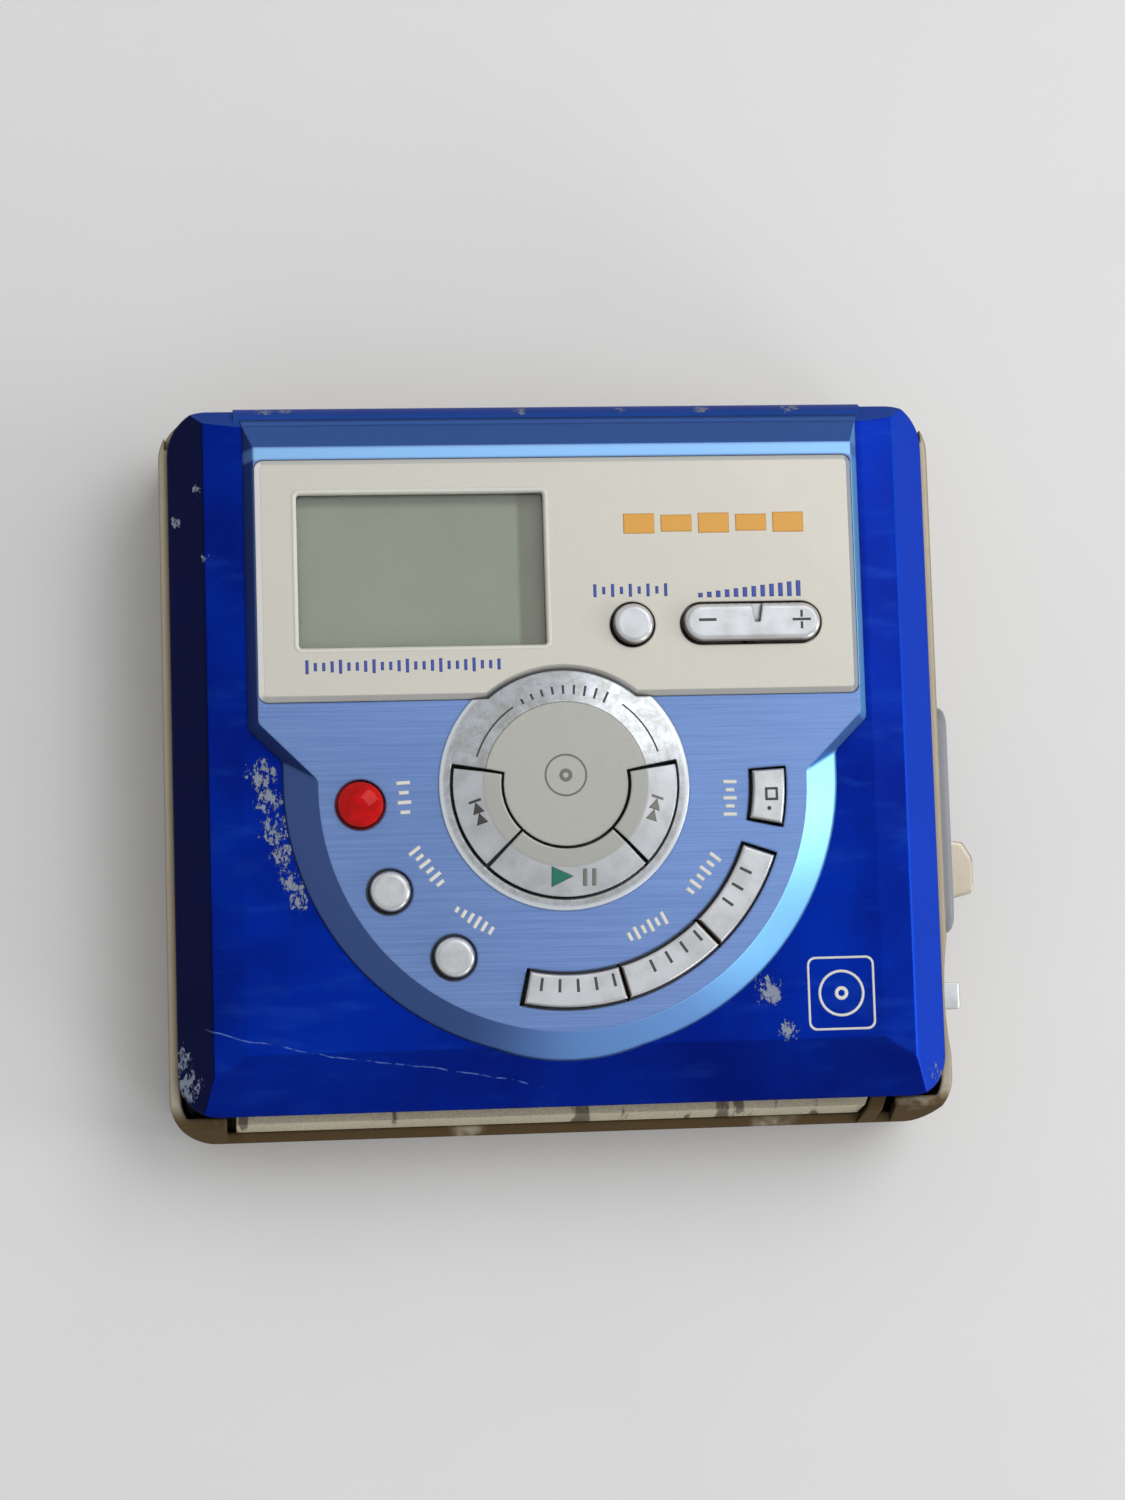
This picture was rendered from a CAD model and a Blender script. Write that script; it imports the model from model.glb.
from math import atan2, cos, degrees, hypot, pi, radians, sin

import bmesh
import bpy
from mathutils import Matrix, Vector


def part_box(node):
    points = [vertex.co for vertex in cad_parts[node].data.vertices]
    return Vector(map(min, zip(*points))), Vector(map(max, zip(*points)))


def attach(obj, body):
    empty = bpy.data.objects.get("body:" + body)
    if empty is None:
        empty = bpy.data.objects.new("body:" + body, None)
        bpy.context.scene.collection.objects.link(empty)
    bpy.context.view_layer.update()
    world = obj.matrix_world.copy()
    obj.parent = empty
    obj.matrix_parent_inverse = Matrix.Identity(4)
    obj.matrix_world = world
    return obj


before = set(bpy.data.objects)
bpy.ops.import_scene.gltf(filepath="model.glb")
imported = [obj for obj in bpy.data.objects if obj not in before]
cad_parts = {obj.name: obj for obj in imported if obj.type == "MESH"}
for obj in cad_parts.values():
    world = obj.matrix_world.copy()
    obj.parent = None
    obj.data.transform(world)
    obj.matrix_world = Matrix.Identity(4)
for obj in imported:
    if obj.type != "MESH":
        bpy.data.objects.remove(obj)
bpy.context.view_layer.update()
mm = 0.001

# ---- bottom case, front sill and side pad ----
# The lower shell is a pressed and painted metal tray with a warm silver coat, rubbed and grimy along
# its front edge. The cream bar in its front rim and the pale pad on its right side are moulded plastic.


def srgb(red, green, blue):
    """A colour written as 0 to 255 on screen, as the shader wants it."""
    parts = [value / 255 for value in (red, green, blue)]
    return tuple(p / 12.92 if p <= 0.04045 else ((p + 0.055) / 1.055) ** 2.4 for p in parts) + (1.0,)


def put(finish, socket, value):
    """Sets a socket to a number or a colour, or wires another node's output into it."""
    if isinstance(value, bpy.types.NodeSocket):
        finish.node_tree.links.new(value, socket)
    else:
        socket.default_value = value


def add(finish, kind, inputs, output=0, **settings):
    made = finish.node_tree.nodes.new("ShaderNode" + kind)
    for name, value in settings.items():
        setattr(made, name, value)
    for name, value in inputs.items():
        put(finish, made.inputs[name], value)
    return made.outputs[output]


def new_finish(name, metallic=0.0, roughness=0.5, **others):
    made = bpy.data.materials.new(name)
    made.use_nodes = True
    shader = made.node_tree.nodes["Principled BSDF"]
    for socket, value in {"Metallic": metallic, "Roughness": roughness, **others}.items():
        shader.inputs[socket.replace("_", " ")].default_value = value
    return made


def shader_of(finish):
    return finish.node_tree.nodes["Principled BSDF"].inputs


def place(finish):
    """Where a point lies on the object, in metres."""
    found = finish.node_tree.nodes.get("place")
    if not found:
        found = finish.node_tree.nodes.new("ShaderNodeTexCoord")
        found.name = "place"
    return found.outputs["Object"]


def maths(finish, what, first, second=0.0):
    return add(finish, "Math", {0: first, 1: second}, operation=what)


def fade(finish, value, low, high):
    """0 below low and 1 above high, with a soft step between."""
    inputs = {"Value": value, "From Min": low, "From Max": high}
    return add(finish, "MapRange", inputs, interpolation_type="SMOOTHSTEP")


def times(finish, first, second):
    return maths(finish, "MULTIPLY", first, second)


def mixed(finish, share, first, second, how="MIX"):
    return add(finish, "Mix", {0: share, 6: first, 7: second}, 2, data_type="RGBA", blend_type=how)


def tinted(finish, tone, colour, mask, share):
    """The tone, with up to the given share of a colour where the mask is 1."""
    return mixed(finish, times(finish, mask, share), tone, colour)


def speckle(finish, size, detail=3.0, stretch=(1, 1, 1), rough=0.55):
    """Cloudy variation with patches of about the given size in metres."""
    scaled = add(finish, "Mapping", {"Vector": place(finish), "Scale": [s / size for s in stretch]})
    return add(finish, "TexNoise", {"Vector": scaled, "Scale": 1.0, "Detail": detail, "Roughness": rough})


def bumped(finish, height, depth, below=None):
    inputs = {"Height": height, "Distance": depth, "Strength": 1.0}
    if below is not None:
        inputs["Normal"] = below
    return add(finish, "Bump", inputs)


def edges_of(finish, width):
    """1 where the surface bends sharply within the width, 0 on open ground, and the softened normal."""
    soft = add(finish, "Bevel", {"Radius": width}, samples=6)
    true = add(finish, "NewGeometry", {}, "Normal")
    same = add(finish, "VectorMath", {0: soft, 1: true}, "Value", operation="DOT_PRODUCT")
    return maths(finish, "SUBTRACT", 1.0, same), soft


def facing(finish, direction, low, high):
    """1 where the surface looks along a direction of the room, 0 where it looks away from it."""
    bearing = Vector(direction).normalized()
    turned = add(finish, "NewGeometry", {}, "Normal")
    along = add(finish, "VectorMath", {0: turned, 1: bearing}, "Value", operation="DOT_PRODUCT")
    return fade(finish, along, low, high)


def crevice(finish, reach):
    """1 deep in a corner or a gap, 0 on open ground."""
    open_share = add(finish, "AmbientOcclusion", {"Distance": reach}, "AO", samples=6)
    return fade(finish, open_share, 0.9, 0.35)


def moulded(name, colour, dirt, roughness=0.45, grain=0.25 * mm, depth=0.006 * mm, edge=0.25 * mm,
            metallic=0.0, soil=0.35, polish=0.0, specks=0.12):
    """A plain moulded or painted surface: fine grain, soft edges, soil in the corners and faint clouds."""
    made = new_finish(name, metallic, roughness, Coat_Weight=polish)
    bend, soft = edges_of(made, edge)
    cloud = speckle(made, 9 * mm)
    fine = speckle(made, grain, 2.0)
    dirty = times(made, fade(made, bend, 0.02, 0.35), fade(made, cloud, 0.35, 0.62))
    dirty = times(made, dirty, soil)
    toned = tinted(made, colour, dirt, fade(made, fine, 0.3, 0.75), specks)
    toned = tinted(made, toned, dirt, cloud, soil * 0.4)
    put(made, shader_of(made)["Base Color"], mixed(made, dirty, toned, dirt))
    rough = add(made, "MapRange", {"Value": speckle(made, 2.5 * mm, 4.0), "To Min": roughness * 0.8,
                                   "To Max": roughness * 1.25})
    put(made, shader_of(made)["Roughness"], rough)
    put(made, shader_of(made)["Normal"], bumped(made, fine, depth, soft))
    return made


def dress(finish, *nodes):
    """The CAD solids keep their shape and take this finish."""
    for name in nodes:
        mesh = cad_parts[name].data
        mesh.materials.clear()
        mesh.materials.append(finish)


case_colour = srgb(168, 160, 142)
case_grime = srgb(66, 48, 18)
case_finish = new_finish("case_silver_paint", 0.6, 0.36, Specular_Tint=srgb(200, 176, 130))
case_bend, case_soft = edges_of(case_finish, 0.5 * mm)
case_fine = speckle(case_finish, 0.18 * mm, 2.0)
case_cloud = speckle(case_finish, 7 * mm, 5.0)
case_depth = add(case_finish, "SeparateXYZ", {"Vector": place(case_finish)}, "Y")
front_grime = fade(case_finish, case_depth, -36.0 * mm, -39.0 * mm)
front_grime = times(case_finish, front_grime, fade(case_finish, case_cloud, 0.24, 0.46))
corner_grime = times(case_finish, fade(case_finish, case_bend, 0.01, 0.2), 0.5)
grime_share = maths(case_finish, "MAXIMUM", times(case_finish, front_grime, 0.92), corner_grime)
gap_grime = times(case_finish, crevice(case_finish, 2 * mm), 0.8)
grime_share = maths(case_finish, "MAXIMUM", grime_share, gap_grime)
grime_share = maths(case_finish, "MAXIMUM", grime_share, times(case_finish, case_cloud, 0.35))
clean_case = tinted(case_finish, case_colour, srgb(158, 154, 144), case_fine, 0.25)
case_tone = mixed(case_finish, grime_share, clean_case, case_grime)
case_left = times(case_finish, facing(case_finish, (-1, 0, 0), 0.3, 0.9), 0.6)
put(case_finish, shader_of(case_finish)["Base Color"],
    mixed(case_finish, case_left, case_tone, srgb(40, 34, 32)))
put(case_finish, shader_of(case_finish)["Roughness"],
    add(case_finish, "MapRange", {"Value": grime_share, "To Min": 0.32, "To Max": 0.6}))
put(case_finish, shader_of(case_finish)["Normal"], bumped(case_finish, case_fine, 0.008 * mm, case_soft))
dress(case_finish, "bottom_case", "battery_door")

sill_finish = moulded("sill_cream", srgb(214, 206, 180), srgb(70, 50, 22), 0.5, soil=0.9, specks=0.3)
sill_stains = fade(sill_finish, speckle(sill_finish, 3 * mm, 4.0, (1, 0.2, 0.2)), 0.56, 0.62)
sill_clean = shader_of(sill_finish)["Base Color"].links[0].from_socket
put(sill_finish, shader_of(sill_finish)["Base Color"],
    tinted(sill_finish, sill_clean, srgb(62, 46, 24), sill_stains, 0.85))
dress(sill_finish, "front_sill")
trim_finish = moulded("trim_pale", srgb(138, 142, 152), srgb(92, 84, 74), 0.42, soil=0.5)
dress(trim_finish, "side_trim")

# ---- battery and its tray ----
# A flat rechargeable cell slides in from the left behind a hinged door. Its tray is black plastic,
# and the two contacts at its inner end are gold-plated leaf springs.
black_plastic = moulded("black_plastic", srgb(30, 30, 32), srgb(62, 60, 56), 0.5, soil=0.25)
dress(black_plastic, "battery_holder", "board_chips", "headphone_jack", "microphone_jack", "dc_jack",
      "magnetic_head", "lcd_frame")
cell_finish = moulded("cell_sleeve", srgb(54, 84, 74), srgb(28, 34, 32), 0.38, soil=0.3)
dress(cell_finish, "battery_cell")
contact_finish = moulded("contact_gold", srgb(214, 178, 92), srgb(130, 92, 40), 0.25, metallic=1.0)
dress(contact_finish, "battery_contacts")

# ---- main board, sockets and switch ----
# The circuit board lies on the floor. Sockets for earphone, line and microphone are black and grey
# plastic blocks soldered on its left edge, and a slide switch stands behind the hold knob.
board_finish = new_finish("board_green", 0.0, 0.34, Coat_Weight=0.3)
board_tones = {"Color1": srgb(26, 82, 50), "Color2": srgb(22, 72, 44), "Mortar": srgb(46, 112, 66)}
board_tracks = add(board_finish, "TexBrick", {"Vector": place(board_finish), "Scale": 420.0,
                                              "Mortar Size": 0.06, **board_tones})
put(board_finish, shader_of(board_finish)["Base Color"],
    tinted(board_finish, board_tracks, srgb(16, 52, 34), speckle(board_finish, 3 * mm), 0.4))
put(board_finish, shader_of(board_finish)["Normal"],
    bumped(board_finish, speckle(board_finish, 0.4 * mm), 0.01 * mm))
dress(board_finish, "main_board", "key_board")
grey_plastic = moulded("grey_plastic", srgb(120, 122, 124), srgb(70, 70, 70), 0.48, soil=0.3)
dress(grey_plastic, "line_in_jack", "hold_switch", "pickup_sled")

# ---- disc drive ----
# A pressed steel deck hangs on four rubber bushes. The spindle motor is fixed under it, and the
# sled runs on two ground rods, pushed by the lead screw of a small can motor.


def pressed_steel(name, colour, roughness, streak):
    """Bare rolled sheet: fine streaks along X, cloudy roughness and slightly darker corners."""
    made = new_finish(name, 1.0, roughness)
    bend, soft = edges_of(made, 0.2 * mm)
    lines = speckle(made, 0.12 * mm, 3.0, (0.02, 1, 1))
    cloud = speckle(made, 6 * mm, 4.0)
    toned = tinted(made, colour, srgb(120, 118, 112), cloud, 0.35)
    put(made, shader_of(made)["Base Color"],
        tinted(made, toned, srgb(96, 92, 84), fade(made, bend, 0.02, 0.4), 0.4))
    put(made, shader_of(made)["Roughness"],
        add(made, "MapRange", {"Value": lines, "To Min": roughness * 0.75, "To Max": roughness * 1.3}))
    put(made, shader_of(made)["Normal"], bumped(made, lines, streak, soft))
    return made


sheet_steel = pressed_steel("sheet_steel", srgb(186, 188, 188), 0.34, 0.003 * mm)
dress(sheet_steel, "mechanism_chassis", "disc_holder", "head_arm", "lid_inner_frame", "lid_catch",
      "latch_slider", "latch_spring", "lid_spring", "spindle_motor", "sled_motor", "dome_switches")
turned_steel = pressed_steel("turned_steel", srgb(206, 208, 210), 0.18, 0.0015 * mm)
dress(turned_steel, "turntable", "guide_rods", "lead_screw", "hinge_pins", "damper_screws", "lid_screws",
      "case_screws")
rubber_finish = moulded("black_rubber", srgb(26, 26, 27), srgb(60, 58, 54), 0.8, soil=0.4)
dress(rubber_finish, "damper_bushes")
lens_finish = new_finish("lens_glass", 0.0, 0.04, Coat_Weight=1.0)
lens_rim = fade(lens_finish, speckle(lens_finish, 0.8 * mm), 0.3, 0.7)
put(lens_finish, shader_of(lens_finish)["Base Color"],
    mixed(lens_finish, lens_rim, srgb(38, 42, 86), srgb(84, 60, 120)))
dress(lens_finish, "objective_lens")

# ---- sliders on the right side ----
# The OPEN slider is a wedge of bright plated plastic, worn to beige on its ridge. The small HOLD
# slider nearer the front is silver like the keys, and takes its finish with them.
knob_finish = moulded("open_knob_beige", srgb(176, 167, 152), srgb(104, 90, 70), 0.22, metallic=0.65,
                      soil=0.4, edge=0.6 * mm, polish=0.5)
dress(knob_finish, "open_knob")

# ---- lid shell ----
# The lid is a pressed shell with a deep blue metallic lacquer, darker on the slopes that look left and
# to the front. It is scuffed to the bare metal at its corners and beside the raised panel.


def spot(finish, centre, radius):
    """1 at a place on the object, fading to 0 at the radius, both in millimetres."""
    away = add(finish, "VectorMath", {0: place(finish), 1: [c * mm for c in centre]}, "Value",
               operation="DISTANCE")
    return fade(finish, away, radius * mm, radius * mm * 0.3)


def between(finish, axis, low, high, soft=0.1 * mm):
    """1 between two places on an axis, with a soft step at both."""
    value = add(finish, "SeparateXYZ", {"Vector": place(finish)}, axis)
    rise = fade(finish, value, low - soft, low + soft)
    return times(finish, rise, fade(finish, value, high + soft, high - soft))


lid_colour = srgb(0, 32, 138)
lid_deep = srgb(2, 12, 100)
lid_bright = srgb(2, 66, 194)
lid_dark = srgb(0, 2, 26)
bare_metal = srgb(150, 158, 170)
lid_finish = new_finish("lid_blue_lacquer", 0.55, 0.34, Coat_Weight=0.03, Coat_Roughness=0.15,
                        Specular_Tint=srgb(4, 60, 190))
lid_bend, lid_soft = edges_of(lid_finish, 0.5 * mm)
flakes = speckle(lid_finish, 0.12 * mm, 2.0)
lid_cloud = speckle(lid_finish, 16 * mm, 4.0)
scuff_grain = speckle(lid_finish, 0.55 * mm, 8.0, (1, 0.6, 1), 0.72)
worn_places = (((-32.4, -1.8, 21), 1.6), ((-31.8, -4.6, 21), 1.5), ((-31.1, -7.8, 21), 1.7),
               ((-30.2, -10.6, 21), 1.4), ((-29.4, -13.2, 21), 1.5), ((-28.8, -15.4, 21), 1.1),
               ((-41.7, -32.2, 17), 1.8), ((-40.2, -34.9, 17), 2.2), ((-38.5, -36.6, 16.5), 2.2),
               ((-37.6, -28.9, 19.5), 0.8), ((39.9, -36.2, 16.5), 2.2), ((40.9, -37.3, 15.5), 2.4),
               ((-31.2, 38.3, 19), 1.2), ((-29.0, 38.3, 19), 0.9), ((-3.2, 37.9, 19.5), 0.8),
               ((7.9, 37.8, 19.5), 0.7), ((16.8, 37.8, 19.5), 0.9), ((26.9, 37.9, 19.5), 1.1),
               ((-38.4, 29.5, 19.5), 0.9), ((-41.2, 26.4, 18), 0.8), ((-37.8, 22.0, 20), 0.7),
               ((19.9, -24.2, 21), 1.3), ((22.0, -26.4, 21), 1.6), ((24.0, -30.8, 21), 1.2))
worn_spots = None
for centre, radius in worn_places:
    patch = spot(lid_finish, centre, radius * 1.9)
    worn_spots = patch if worn_spots is None else maths(lid_finish, "MAXIMUM", worn_spots, patch)
rim_patches = fade(lid_finish, speckle(lid_finish, 4 * mm, 3.0), 0.5, 0.64)
rim_wear = times(lid_finish, fade(lid_finish, lid_bend, 0.04, 0.2), rim_patches)
chips = maths(lid_finish, "ADD", times(lid_finish, worn_spots, 0.29), times(lid_finish, rim_wear, 0.2))
chips = fade(lid_finish, maths(lid_finish, "ADD", chips, scuff_grain), 0.765, 0.8)

# One long scratch runs across the front of the lid, and the lacquer has faint rubbed streaks.
scratch_start = Vector((-38.4, -29.2, 0)) * mm
scratch_end = Vector((-3.4, -35.9, 0)) * mm
scratch_aside = Vector((0, 0, 1)).cross(scratch_end - scratch_start).normalized()
scratch_off = add(lid_finish, "VectorMath", {0: place(lid_finish), 1: scratch_aside}, "Value",
                  operation="DOT_PRODUCT")
scratch_off = maths(lid_finish, "SUBTRACT", scratch_off, scratch_start.dot(scratch_aside))
scratch_wander = times(lid_finish, maths(lid_finish, "SUBTRACT", lid_cloud, 0.5), 2.5 * mm)
scratch_off = maths(lid_finish, "ABSOLUTE", maths(lid_finish, "ADD", scratch_off, scratch_wander))
scratch = times(lid_finish, fade(lid_finish, scratch_off, 0.09 * mm, 0.03 * mm),
                between(lid_finish, "X", scratch_start.x, scratch_end.x, 1 * mm))
scratch = times(lid_finish, scratch, fade(lid_finish, speckle(lid_finish, 1.5 * mm, 4.0), 0.42, 0.6))
streaks = fade(lid_finish, speckle(lid_finish, 2.2 * mm, 5.0, (0.25, 1, 1), 0.6), 0.5, 0.75)
lid_tone = mixed(lid_finish, fade(lid_finish, lid_cloud, 0.3, 0.7), lid_deep, lid_colour)
lid_tone = tinted(lid_finish, lid_tone, lid_bright, flakes, 0.16)
lid_tone = tinted(lid_finish, lid_tone, srgb(40, 90, 190), streaks, 0.12)
lid_tone = tinted(lid_finish, lid_tone, lid_bright, facing(lid_finish, (1, 0, 0), 0.12, 0.5), 0.8)
lid_tone = tinted(lid_finish, lid_tone, lid_dark, facing(lid_finish, (-1, -0.3, 0), 0.15, 0.5), 0.93)
lid_tone = tinted(lid_finish, lid_tone, srgb(2, 3, 62), facing(lid_finish, (0, -1, 0), 0.08, 0.5), 0.7)
lid_tone = tinted(lid_finish, lid_tone, srgb(40, 90, 160), facing(lid_finish, (0, 1, 0), 0.1, 0.5), 0.5)
lid_tone = tinted(lid_finish, lid_tone, lid_dark, crevice(lid_finish, 1.6 * mm), 0.8)
lid_tone = tinted(lid_finish, lid_tone, srgb(110, 140, 196), scratch, 0.55)
put(lid_finish, shader_of(lid_finish)["Base Color"],
    mixed(lid_finish, chips, lid_tone, mixed(lid_finish, scuff_grain, srgb(70, 80, 104), bare_metal)))
put(lid_finish, shader_of(lid_finish)["Roughness"],
    add(lid_finish, "MapRange", {"Value": speckle(lid_finish, 4 * mm, 6.0), "To Min": 0.28, "To Max": 0.44}))
lid_bumps = bumped(lid_finish, flakes, 0.002 * mm, lid_soft)
put(lid_finish, shader_of(lid_finish)["Normal"],
    bumped(lid_finish, times(lid_finish, chips, -1.0), 0.03 * mm, lid_bumps))
dress(lid_finish, "lid_shell")

# ---- control panel ----
# The raised keyhole-shaped panel is brushed aluminium dyed a pale blue. The brushing runs from side
# to side. Its slopes are turned bright: pale on the right, slate on the left.
panel_colour = srgb(94, 120, 170)
panel_pale = srgb(110, 136, 184)
panel_finish = new_finish("panel_brushed_blue", 0.65, 0.36, Anisotropic=0.4,
                          Specular_Tint=srgb(120, 150, 210))
panel_soft = edges_of(panel_finish, 0.35 * mm)[1]
brushing = speckle(panel_finish, 0.16 * mm, 4.0, (0.012, 1, 0.3), 0.7)
panel_cloud = speckle(panel_finish, 10 * mm, 3.0)
panel_specks = fade(panel_finish, speckle(panel_finish, 0.4 * mm, 4.0), 0.75, 0.79)
panel_tone = mixed(panel_finish, fade(panel_finish, brushing, 0.3, 0.7), panel_colour, panel_pale)
panel_tone = tinted(panel_finish, panel_tone, srgb(96, 118, 168), panel_cloud, 0.25)
for direction, low, high, share, tone in (
        ((1, -0.25, 0), 0.1, 0.5, 0.95, srgb(150, 222, 255)),
        ((0.5, -1, 0), 0.3, 0.55, 0.6, srgb(112, 176, 236)),
        ((-0.2, -1, 0), 0.3, 0.55, 0.8, srgb(98, 136, 198)),
        ((-1, -0.4, 0), 0.2, 0.5, 0.92, srgb(52, 72, 122)),
        ((0, 1, 0), 0.05, 0.3, 0.95, srgb(52, 86, 150))):
    looks = times(panel_finish, facing(panel_finish, direction, low, high), share)
    panel_tone = mixed(panel_finish, looks, panel_tone, tone)
panel_strip = between(panel_finish, "Y", 32.0 * mm, 33.3 * mm, 0.25 * mm)
panel_tone = tinted(panel_finish, panel_tone, srgb(124, 168, 212), panel_strip, 0.9)
panel_tone = tinted(panel_finish, panel_tone, srgb(14, 18, 44), crevice(panel_finish, 0.8 * mm), 0.6)
put(panel_finish, shader_of(panel_finish)["Base Color"],
    tinted(panel_finish, panel_tone, srgb(196, 208, 230), panel_specks, 0.5))
put(panel_finish, shader_of(panel_finish)["Roughness"],
    add(panel_finish, "MapRange", {"Value": brushing, "To Min": 0.3, "To Max": 0.46}))
put(panel_finish, shader_of(panel_finish)["Normal"], bumped(panel_finish, brushing, 0.0025 * mm, panel_soft))
dress(panel_finish, "control_panel")

# ---- display panel and window ----
# A warm grey lacquered plastic plate with bevelled edges is glued over the rear of the panel. A
# thin white lip frames its window, and the liquid crystal module lies below clear plastic.
cream_finish = moulded("cream_lacquer", srgb(208, 206, 196), srgb(184, 178, 162), 0.36, grain=0.14 * mm,
                       depth=0.003 * mm, metallic=0.12, soil=0.25, polish=0.15, specks=0.3)
cream_tone = shader_of(cream_finish)["Base Color"].links[0].from_socket
for direction, share, tone in (((-1, 0, 0), 1.0, srgb(252, 251, 250)), ((1, 0, 0), 0.8, srgb(118, 130, 148)),
                               ((0, -1, 0), 0.5, srgb(150, 150, 150))):
    looks = times(cream_finish, facing(cream_finish, direction, 0.2, 0.5), share)
    cream_tone = mixed(cream_finish, looks, cream_tone, tone)
cream_tone = tinted(cream_finish, cream_tone, srgb(60, 56, 60), crevice(cream_finish, 0.5 * mm), 0.7)
put(cream_finish, shader_of(cream_finish)["Base Color"], cream_tone)
dress(cream_finish, "display_panel")

window_finish = new_finish("window_clear", 0.0, 0.05, Transmission_Weight=1.0, IOR=1.45, Coat_Weight=0.3)
window_cloud = speckle(window_finish, 3 * mm, 5.0)
window_haze = add(window_finish, "MapRange", {"Value": window_cloud, "To Min": 0.02, "To Max": 0.12})
put(window_finish, shader_of(window_finish)["Roughness"], window_haze)
put(window_finish, shader_of(window_finish)["Base Color"],
    mixed(window_finish, speckle(window_finish, 8 * mm), srgb(236, 240, 232), srgb(246, 248, 244)))
dress(window_finish, "display_window")

lcd_finish = new_finish("liquid_crystal", 0.0, 0.5)
lcd_grid = add(lcd_finish, "TexBrick", {"Vector": place(lcd_finish), "Scale": 1400.0, "Mortar Size": 0.02,
                                        "Color1": srgb(164, 171, 158), "Color2": srgb(160, 167, 154),
                                        "Mortar": srgb(152, 159, 147)})
lcd_tone = tinted(lcd_finish, lcd_grid, srgb(146, 152, 138), speckle(lcd_finish, 5 * mm), 0.3)
lcd_right_shade = between(lcd_finish, "X", -4.2 * mm, 5 * mm, 0.35 * mm)
lcd_top_shade = between(lcd_finish, "Y", 27.0 * mm, 40 * mm, 0.5 * mm)
lcd_tone = tinted(lcd_finish, lcd_tone, srgb(96, 100, 88), lcd_top_shade, 0.6)
lcd_tone = tinted(lcd_finish, lcd_tone, srgb(92, 84, 62), lcd_right_shade, 0.6)
put(lcd_finish, shader_of(lcd_finish)["Base Color"], lcd_tone)
dress(lcd_finish, "lcd_module")


def rounded(x0, y0, x1, y1, radius, steps=5):
    """The corners of a rectangle with round corners, in millimetres."""
    points = []
    for x, y, turn in ((x1, y1, 0), (x0, y1, 90), (x0, y0, 180), (x1, y0, 270)):
        cx = x - radius if x == x1 else x + radius
        cy = y - radius if y == y1 else y + radius
        for step in range(steps + 1):
            angle = radians(turn + 90 * step / steps)
            points.append((cx + radius * cos(angle), cy + radius * sin(angle)))
    return points


def ring_between(outer, inner):
    """Four-sided patches between two outlines that have the same number of points."""
    count = len(outer)
    return [[outer[i], outer[(i + 1) % count], inner[(i + 1) % count], inner[i]] for i in range(count)]


def on_body(name, mesh, finish, body):
    """Makes a piece of the finished mesh, and fixes it to its CAD body."""
    bmesh.ops.recalc_face_normals(mesh, faces=mesh.faces)
    data = bpy.data.meshes.new(name)
    mesh.to_mesh(data)
    mesh.free()
    data.materials.append(finish)
    made = bpy.data.objects.new(name, data)
    bpy.context.scene.collection.objects.link(made)
    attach(made, body)
    return made


def laid_on(name, shapes, height, finish, body, proud=0.03, sunk=0.05):
    """Ink or a thin raised line: flat shapes on a surface whose height in millimetres is given."""
    mesh = bmesh.new()
    for shape in shapes:
        mesh.faces.new([mesh.verts.new((x * mm, y * mm, (height(x, y) - sunk) * mm)) for x, y in shape])
    bmesh.ops.remove_doubles(mesh, verts=mesh.verts, dist=0.002 * mm)
    grown = bmesh.ops.extrude_face_region(mesh, geom=list(mesh.faces))["geom"]
    top = [item for item in grown if isinstance(item, bmesh.types.BMVert)]
    bmesh.ops.translate(mesh, verts=top, vec=(0, 0, (proud + sunk) * mm))
    return on_body(name, mesh, finish, body)


def lofted_rim(name, box, radius, steps, finish, body):
    """A closed frame that follows a rounded rectangle: each step is how far in it lies, and its height."""
    x0, y0, x1, y1 = box
    mesh = bmesh.new()
    loops = []
    for inset, z in steps:
        outline = rounded(x0 + inset, y0 + inset, x1 - inset, y1 - inset, max(radius - inset, 0.05))
        loops.append([mesh.verts.new((x * mm, y * mm, z * mm)) for x, y in outline])
    for loop, following in zip(loops, loops[1:] + loops[:1]):
        for i in range(len(loop)):
            k = (i + 1) % len(loop)
            mesh.faces.new((loop[i], loop[k], following[k], following[i]))
    return on_body(name, mesh, finish, body)


cream_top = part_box("display_panel")[1].z / mm
lip_finish = moulded("window_lip_white", srgb(226, 226, 216), srgb(170, 166, 150), 0.3, soil=0.3)
lip_steps = ((0.0, cream_top - 0.05), (0.12, cream_top + 0.07), (0.4, cream_top + 0.05),
             (0.55, cream_top - 0.15), (0.55, cream_top - 1.0), (0.3, cream_top - 1.0))
window_edge = (-28.7, 10.85, -0.9, 28.65)
lofted_rim("window_lip", window_edge, 0.9, lip_steps, lip_finish, "lid")

# ---- control ring ----
# A turned aluminium cone stands round the play keys, with a matte grey disc let into its flat top.
# Two fine lines are engraved beside the ring's head.
ring_centre = (0.0, -3.8)
ring_finish = new_finish("ring_turned_silver", 0.9, 0.3)
ring_soft = edges_of(ring_finish, 0.3 * mm)[1]
ring_streaks = speckle(ring_finish, 0.2 * mm, 3.0)
ring_cloud = speckle(ring_finish, 1.3 * mm, 7.0, (1, 1, 1), 0.7)
ring_tone = mixed(ring_finish, fade(ring_finish, ring_cloud, 0.35, 0.68), srgb(174, 180, 187),
                  srgb(150, 150, 147))
ring_tone = tinted(ring_finish, ring_tone, srgb(132, 134, 138), fade(ring_finish, ring_streaks, 0.35, 0.7),
                   0.35)
rim_heart = (0, ring_centre[1] * mm, 22.5 * mm)
ring_out = add(ring_finish, "VectorMath", {0: place(ring_finish), 1: rim_heart}, "Value",
               operation="DISTANCE")
ring_tone = mixed(ring_finish, fade(ring_finish, ring_out, 13.0 * mm, 13.4 * mm), ring_tone,
                  srgb(192, 198, 204))
ring_scratch = fade(ring_finish, speckle(ring_finish, 0.9 * mm, 6.0, (1, 0.25, 1), 0.75), 0.66, 0.7)
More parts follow.
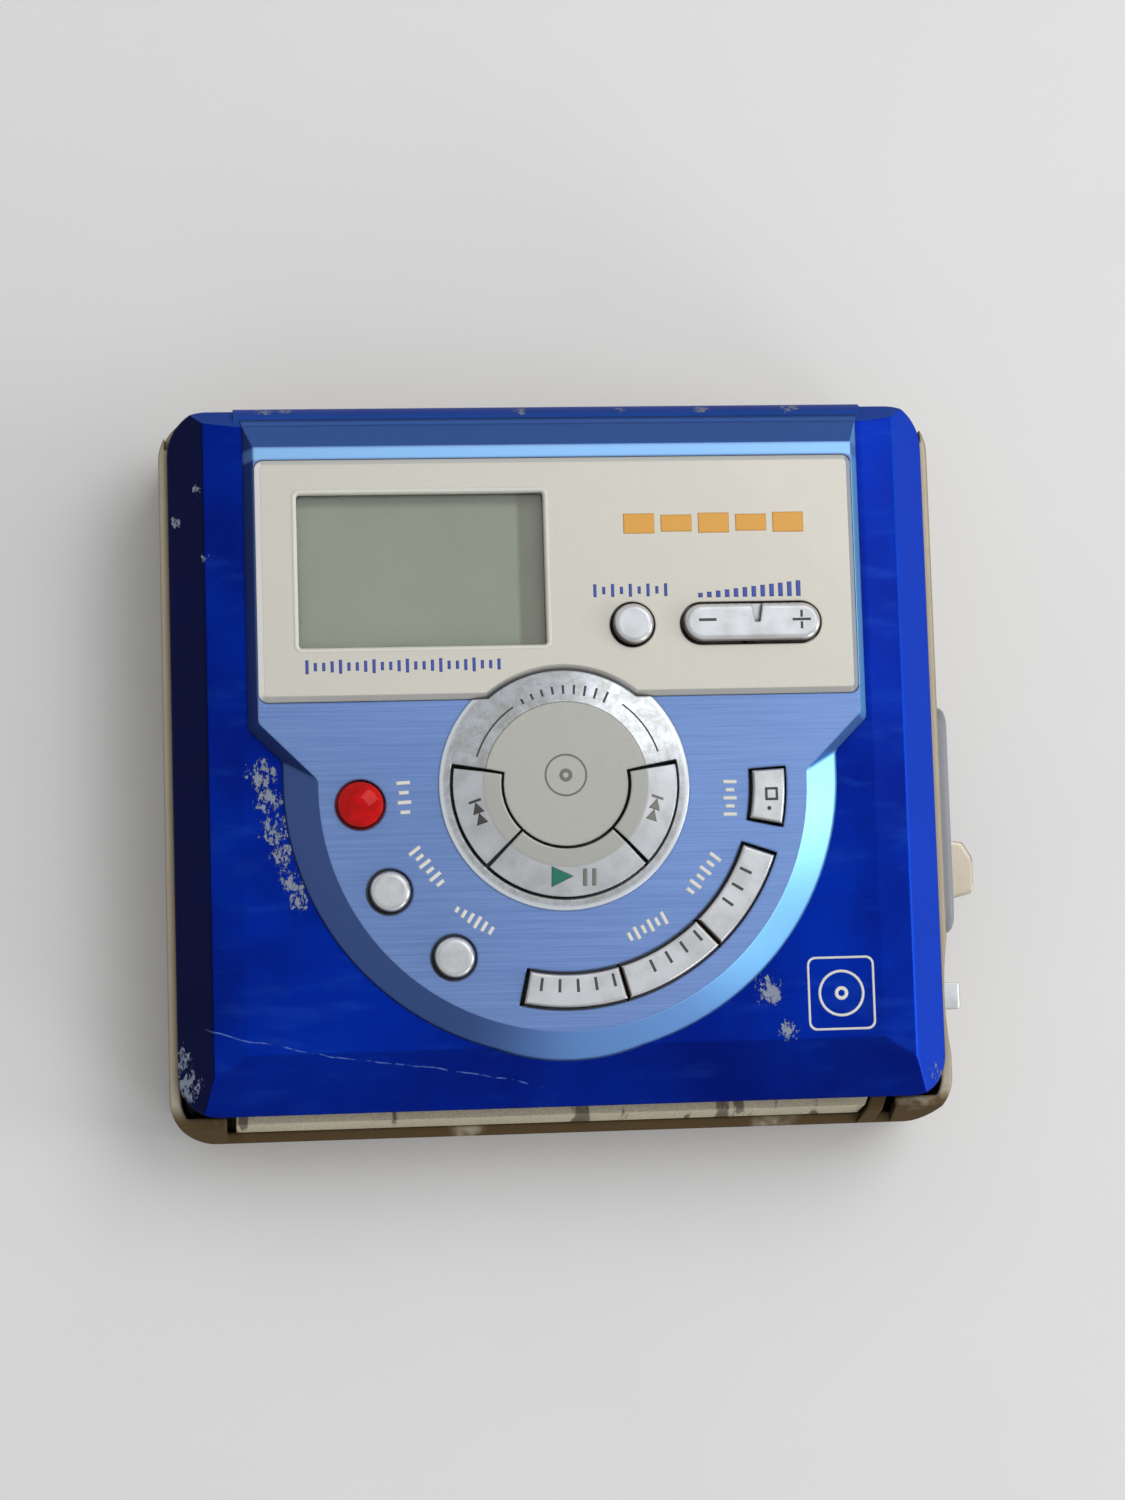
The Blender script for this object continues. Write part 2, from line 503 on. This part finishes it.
put(ring_finish, shader_of(ring_finish)["Base Color"],
    tinted(ring_finish, ring_tone, srgb(112, 110, 104), ring_scratch, 0.4))
put(ring_finish, shader_of(ring_finish)["Roughness"],
    add(ring_finish, "MapRange", {"Value": ring_cloud, "To Min": 0.2, "To Max": 0.42}))
put(ring_finish, shader_of(ring_finish)["Normal"], bumped(ring_finish, ring_streaks, 0.004 * mm, ring_soft))
dress(ring_finish, "control_ring")
cap_finish = moulded("ring_cap_grey", srgb(172, 172, 166), srgb(140, 138, 130), 0.42, grain=0.12 * mm,
                     depth=0.004 * mm, metallic=0.3, specks=0.3)
dress(cap_finish, "ring_cap")

ring_foot_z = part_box("control_panel")[1].z / mm
ring_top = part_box("control_ring")[1].z / mm
ring_outer_r = 13.55
ring_flat_r = 8.9


def cone_height(x, y):
    """Height of the ring's slope over a point, in millimetres."""
    out = hypot(x - ring_centre[0], y - ring_centre[1])
    if out < ring_flat_r:
        return ring_top
    return ring_top - (out - ring_flat_r) * (ring_top - ring_foot_z - 0.15) / (ring_outer_r - ring_flat_r)


def arc_band(inner, outer, start, end, centre=ring_centre, steps=24):
    """Patches of a ring about a centre, between two radii and two angles in degrees."""
    patches = []
    for step in range(steps):
        a, b = (radians(start + (end - start) * (step + k) / steps) for k in (0, 1))
        patches.append([(centre[0] + r * cos(t), centre[1] + r * sin(t))
                        for r, t in ((inner, a), (outer, a), (outer, b), (inner, b))])
    return patches


ink_dark = moulded("ink_dark", srgb(52, 50, 48), srgb(90, 86, 80), 0.5, soil=0.2)
laid_on("ring_line_left", arc_band(9.88, 10.06, 123, 162), cone_height, ink_dark, "lid", 0.015)
laid_on("ring_line_right", arc_band(10.54, 10.72, 18, 53), cone_height, ink_dark, "lid", 0.015)

# ---- keys ----
# All keys are moulded with a silver lacquer, satin on top and bright on the sides, except the
# recording key, which is a dome of clear red plastic. The marks are printed.
key_finish = new_finish("key_silver", 0.8, 0.3)
key_soft = edges_of(key_finish, 0.3 * mm)[1]
key_up = add(key_finish, "SeparateXYZ", {"Vector": add(key_finish, "NewGeometry", {}, "True Normal")}, "Z")
key_top = fade(key_finish, maths(key_finish, "ABSOLUTE", key_up), 0.75, 0.93)
key_fine = speckle(key_finish, 0.15 * mm, 3.0)
key_cloud = speckle(key_finish, 2.5 * mm, 5.0)
key_silver = mixed(key_finish, fade(key_finish, key_cloud, 0.35, 0.7), srgb(180, 184, 189),
                   srgb(162, 165, 168))
key_silver = tinted(key_finish, key_silver, srgb(150, 148, 144), key_fine, 0.3)
key_shade = facing(key_finish, (-1, -0.8, 0), 0.1, 0.8)
key_wall = tinted(key_finish, srgb(204, 200, 196), srgb(64, 46, 40), key_shade, 0.9)
key_flat = add(key_finish, "VectorMath", {0: place(key_finish), 1: (1, 1, 0)}, operation="MULTIPLY")
key_out = add(key_finish, "VectorMath", {0: key_flat, 1: (0, ring_centre[1] * mm, 0)}, "Value",
              operation="DISTANCE")
key_silver = mixed(key_finish, fade(key_finish, key_out, 9.1 * mm, 8.8 * mm), key_silver, srgb(146, 146, 142))
key_tone = mixed(key_finish, key_top, key_wall, key_silver)
key_tone = tinted(key_finish, key_tone, srgb(20, 16, 16), crevice(key_finish, 0.6 * mm), 0.85)
put(key_finish, shader_of(key_finish)["Base Color"], key_tone)
put(key_finish, shader_of(key_finish)["Roughness"],
    add(key_finish, "MapRange", {"Value": key_top, "To Min": 0.14, "To Max": 0.38}))
put(key_finish, shader_of(key_finish)["Normal"], bumped(key_finish, key_fine, 0.004 * mm, key_soft))
dress(key_finish, "mode_key", "bass_key", "display_key", "stop_key", "edit_key", "enter_key", "character_key",
      "previous_key", "play_key", "next_key", "volume_rocker", "hold_knob")

red_finish = new_finish("key_red", 0.0, 0.14, Coat_Weight=0.25, Specular_Tint=srgb(230, 10, 10))
red_soft = edges_of(red_finish, 0.3 * mm)[1]
red_cloud = speckle(red_finish, 1.6 * mm, 3.0)
put(red_finish, shader_of(red_finish)["Base Color"],
    mixed(red_finish, fade(red_finish, red_cloud, 0.35, 0.65), srgb(204, 2, 2), srgb(176, 0, 1)))
put(red_finish, shader_of(red_finish)["Roughness"],
    add(red_finish, "MapRange", {"Value": speckle(red_finish, 0.8 * mm, 4.0), "To Min": 0.1, "To Max": 0.22}))
put(red_finish, shader_of(red_finish)["Normal"],
    bumped(red_finish, speckle(red_finish, 0.3 * mm), 0.002 * mm, red_soft))
dress(red_finish, "record_key")


def bar(x, y, length, width, turn=0.0):
    """A straight bar about its middle, turned by degrees."""
    along = Vector((cos(radians(turn)), sin(radians(turn)))) * length / 2
    aside = Vector((-sin(radians(turn)), cos(radians(turn)))) * width / 2
    middle = Vector((x, y))
    return [tuple(middle + s * along + t * aside) for s, t in ((-1, -1), (1, -1), (1, 1), (-1, 1))]


def arrow(x, y, length, width, turn=0.0):
    """A solid triangle that points along the turn, with its base at the given point, in slices."""
    along = Vector((cos(radians(turn)), sin(radians(turn))))
    aside = Vector((-along.y, along.x))
    base = Vector((x, y))
    slices = []
    for step in range(4):
        a, b = step / 4, (step + 1) / 4
        tip = [(b, b - 1), (b, 1 - b)] if b < 1 else [(1, 0)]
        corners = [(a, a - 1), *tip, (a, 1 - a)]
        slices.append([tuple(base + along * length * p + aside * width / 2 * q) for p, q in corners])
    return slices


def key_slope(x, y):
    return cone_height(x, y) + 0.35


ink_green = moulded("ink_green", srgb(14, 112, 88), srgb(8, 70, 60), 0.4, soil=0.2)
ink_grey = moulded("ink_grey", srgb(112, 110, 104), srgb(150, 146, 136), 0.5, soil=0.2)
ink_pale = moulded("ink_pale", srgb(232, 232, 228), srgb(196, 194, 188), 0.4, soil=0.2)
laid_on("play_mark", arrow(-1.85, -13.75, 2.35, 2.2), key_slope, ink_green, "play_key")
laid_on("pause_mark", [bar(x, -13.9, 1.8, 0.42, 90) for x in (1.75, 2.75)], key_slope, ink_grey,
        "play_key")

skip_mark_r = 9.9
for name, side, ink in (("previous", 1, ink_dark), ("next", -1, ink_grey)):
    angle = radians(197.5 if side > 0 else -17.5)
    middle = Vector((skip_mark_r * cos(angle), ring_centre[1] + skip_mark_r * sin(angle)))
    turn = degrees(angle) - 90
    step = Vector((cos(radians(turn)), sin(radians(turn))))
    shapes = [bar(*(middle + step * side * 1.35), 1.3, 0.25, turn + 90)]
    for start in (-1.2, 0.0):
        foot = middle + step * side * start
        shapes += arrow(*foot, 1.2, 1.25, turn if side > 0 else turn + 180)
    laid_on(name + "_mark", shapes, key_slope, ink, name + "_key")

stop_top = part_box("stop_key")[1].z / mm
stop_inside = rounded(21.95, -5.75, 22.85, -4.85, 0.05, 1)
stop_square = ring_between(rounded(21.7, -6.0, 23.1, -4.6, 0.06, 1), stop_inside)
laid_on("stop_mark", stop_square, lambda x, y: stop_top, ink_dark, "stop_key")
laid_on("stop_dot", [[(22.1 + 0.22 * cos(k * pi / 6), -6.85 + 0.22 * sin(k * pi / 6)) for k in range(12)]],
        lambda x, y: stop_top, ink_dark, "stop_key")
rocker_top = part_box("volume_rocker")[1].z / mm
laid_on("minus_mark", [bar(15.95, 13.65, 1.9, 0.28)], lambda x, y: rocker_top, ink_dark,
        "volume_rocker")
plus_y = 13.55
plus_shapes = [bar(26.25, plus_y, 2.0, 0.25)]
plus_shapes += [bar(26.25, plus_y + up, 0.74, 0.25, 90) for up in (0.63, -0.63)]
laid_on("plus_mark", plus_shapes, lambda x, y: rocker_top, ink_dark, "volume_rocker")

# ---- printed marks on the panels ----
# Plain printed marks stand beside the keys: short rules, dots and rising bars in blue, orange and
# white ink, and a white square with a disc in it on the lid.


def ruled(start, end, count, heights, width):
    """A row of upright bars along a line from start to end, with heights that repeat."""
    line = Vector(end) - Vector(start)
    turn = degrees(atan2(line.y, line.x))
    row = []
    for k in range(count):
        middle = Vector(start) + line * (k + 0.5) / count
        row.append(bar(*middle, width, heights[k % len(heights)], turn))
    return row


def disc_shape(x, y, outer, inner, steps=28):
    return arc_band(inner, outer, 0, 360, (x, y), steps)


def surface_of(node):
    """The height of a CAD node's upper surface over a point, in millimetres."""
    def height(x, y):
        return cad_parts[node].ray_cast((x * mm, y * mm, 1.0), (0, 0, -1))[1].z / mm
    return height


ink_blue = moulded("ink_blue", srgb(52, 76, 168), srgb(38, 56, 130), 0.45, soil=0.2)
ink_orange = moulded("ink_orange", srgb(226, 164, 62), srgb(206, 146, 52), 0.4, soil=0.2)


on_cream = surface_of("display_panel")
on_panel = surface_of("control_panel")
laid_on("front_rule", ruled((-27.8, 9.35), (-6.3, 9.35), 24, (1.5, 0.9, 0.9, 1.2), 0.34), on_cream, ink_blue,
        "lid", 0.012)
laid_on("display_rule", ruled((3.4, 17.15), (12.1, 17.15), 9, (1.4, 0.8), 0.34), on_cream, ink_blue,
        "lid", 0.012)
laid_on("volume_rule", [bar(15.4 + 0.98 * k, 16.5 + 0.055 * k, 0.5, 0.5 + 0.11 * k, 0) for k in range(12)],
        on_cream, ink_blue, "lid", 0.012)
laid_on("panel_stripes", [bar(8.9 + 4.1 * k, 24.45, 3.4, 2.2 - 0.35 * (k % 2), 0) for k in range(5)],
        on_cream, ink_orange, "lid", 0.015)
for name, start, end, count, heights in (
        ("record", (-17.4, -2.7), (-17.2, -6.9), 4, (1.5, 1.1)),
        ("mode", (-16.6, -10.2), (-13.4, -14.4), 6, (1.5, 1.0)),
        ("bass", (-12.3, -16.7), (-8.0, -19.5), 6, (0.7, 0.95, 1.2, 1.45, 1.2, 0.95)),
        ("stop", (17.9, -7.8), (18.0, -3.4), 5, (1.5, 1.0)),
        ("edit", (13.0, -15.9), (16.4, -11.6), 6, (1.0, 1.5)),
        ("enter", (6.2, -20.5), (10.7, -18.2), 6, (1.0, 1.5))):
    laid_on(name + "_rule", ruled(start, end, count, heights, 0.42), on_panel, ink_pale,
            "lid", 0.012)
level_shapes = []
for k in range(9):
    level_shapes += arc_band(9.7, 10.3 + 0.09 * k, 117 - 6.6 * k, 115.6 - 6.6 * k, steps=1)
laid_on("level_ticks", level_shapes, cone_height, ink_dark, "lid", 0.015)

badge_at = (29.85, -26.95)
badge_shapes = ring_between(rounded(26.15, -30.95, 33.55, -22.95, 0.9),
                            rounded(26.4, -30.7, 33.3, -23.2, 0.7))
badge_shapes += disc_shape(*badge_at, 2.55, 2.25) + disc_shape(*badge_at, 0.75, 0.35)
laid_on("disc_badge", badge_shapes, surface_of("lid_shell"), ink_pale, "lid", 0.015)
cap_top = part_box("ring_cap")[1].z / mm
cap_shapes = disc_shape(0.0, -2.9, 2.3, 2.1) + disc_shape(0.0, -2.9, 0.7, 0.3)
laid_on("cap_mark", cap_shapes, lambda x, y: cap_top, ink_grey, "lid", 0.012)

tick_step = 5.2
tick_half = 0.4
for name, angle, marks in (("edit", -32, 3), ("enter", -58, 4), ("character", -88, 5)):
    key_top_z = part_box(name + "_key")[1].z / mm
    ticks = []
    for k in range(marks):
        tick_at = angle + tick_step * (k - (marks - 1) / 2)
        ticks += arc_band(20.9, 22.3, tick_at - tick_half, tick_at + tick_half, steps=1)
    laid_on(name + "_mark", ticks, lambda x, y: key_top_z, ink_dark, name + "_key", 0.012)

# ---- floor, lamps and camera ----
# A plain pale floor under soft lamps, with the largest one behind and to the right, and the camera
# almost straight above, as in the photograph.
floor_size = 3.0
floor_mesh = bmesh.new()
bmesh.ops.create_grid(floor_mesh, x_segments=1, y_segments=1, size=floor_size / 2)
floor_data = bpy.data.meshes.new("floor")
floor_mesh.to_mesh(floor_data)
floor_mesh.free()
floor = bpy.data.objects.new("floor", floor_data)
floor.location.z = -0.05 * mm
bpy.context.scene.collection.objects.link(floor)
floor_finish = new_finish("floor_pale", 0.0, 0.8)
put(floor_finish, shader_of(floor_finish)["Base Color"],
    mixed(floor_finish, speckle(floor_finish, 40 * mm), srgb(236, 236, 236), srgb(230, 230, 230)))
floor_data.materials.append(floor_finish)

world = bpy.data.worlds.new("studio")
bpy.context.scene.world = world
world.use_nodes = True
sky = world.node_tree.nodes["Background"]
shows_white = add(world, "LightPath", {}, "Is Camera Ray")
for kind in ("Transmission", "Glossy"):
    shows_white = maths(world, "MAXIMUM", shows_white, add(world, "LightPath", {}, f"Is {kind} Ray"))
sky_light = 0.48
put(world, sky.inputs["Strength"],
    add(world, "MapRange", {"Value": shows_white, "To Min": sky_light, "To Max": 1.0}))
sky.inputs["Color"].default_value = (1.0, 1.0, 1.0, 1.0)


def lamp(name, place_of, size, power, colour=(1, 1, 1)):
    """A soft square lamp that looks at the middle of the lid."""
    data = bpy.data.lights.new(name, "AREA")
    data.energy = power
    data.size = size
    data.color = colour
    made = bpy.data.objects.new(name, data)
    made.location = place_of
    made.rotation_euler = (Vector((0, 0, 0.02)) - made.location).to_track_quat("-Z", "Y").to_euler()
    bpy.context.scene.collection.objects.link(made)


lamp("lamp_high_right", (0.33, 0.3, 0.7), 0.5, 2.3)
lamp("lamp_low_right", (0.85, -0.1, 0.34), 0.3, 1.8)
lamp("lamp_low_front_right", (0.6, -0.6, 0.34), 0.3, 1.0)

camera_turn = (-0.09813, 0.09982, 0.03026)
camera_shift = (-2.520, 5.992, -352.911)
aim_y = 8.32
turn = Matrix.Identity(3)
for axis, angle in zip("XYZ", camera_turn):
    turn = turn @ Matrix.Rotation(angle, 3, axis)
camera_data = bpy.data.cameras.new("camera")
camera_data.sensor_width = 36.0
camera_data.lens = 73.17
camera = bpy.data.objects.new("camera", camera_data)
camera_place = turn.transposed() @ -Vector(camera_shift) + Vector((0, aim_y, 0))
camera.matrix_world = Matrix.Translation(camera_place * mm) @ turn.transposed().to_4x4()
bpy.context.scene.collection.objects.link(camera)
bpy.context.scene.camera = camera
bpy.context.scene.view_settings.view_transform = "Standard"
